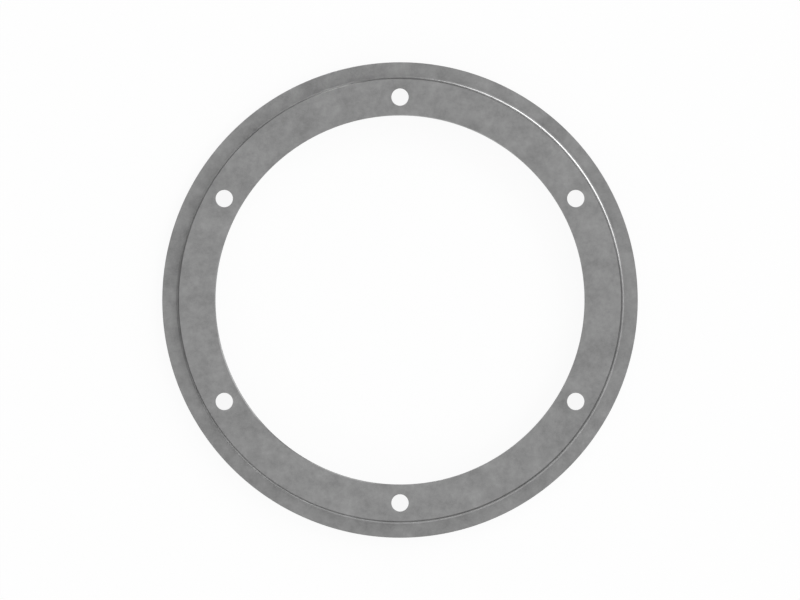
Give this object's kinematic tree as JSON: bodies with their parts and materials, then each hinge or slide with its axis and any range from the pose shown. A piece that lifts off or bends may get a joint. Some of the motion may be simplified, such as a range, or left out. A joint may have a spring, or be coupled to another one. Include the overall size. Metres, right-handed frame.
{
  "type": "thrust washer",
  "caption": "Flat steel thrust washer with a wide bore, a raised bolted seat with a ring of plain through holes, and a lower outer rim joined to the seat by a small root fillet.",
  "frame": {"origin": "centre of the bore at the flat back face, which the washer lies on", "axes": "+Z along the bore axis, from the flat back face towards the raised seat; +X and +Y are the picture's right and up, with bolt holes at 30 degrees from +X and every 60 degrees on"},
  "size_m": [0.232, 0.232, 0.014],
  "materials": {
    "steel": "matt mid-grey steel with faint cloudy mottling"
  },
  "bodies": {
    "root": {"thrust_washer": "steel"}
  },
  "joints": []
}
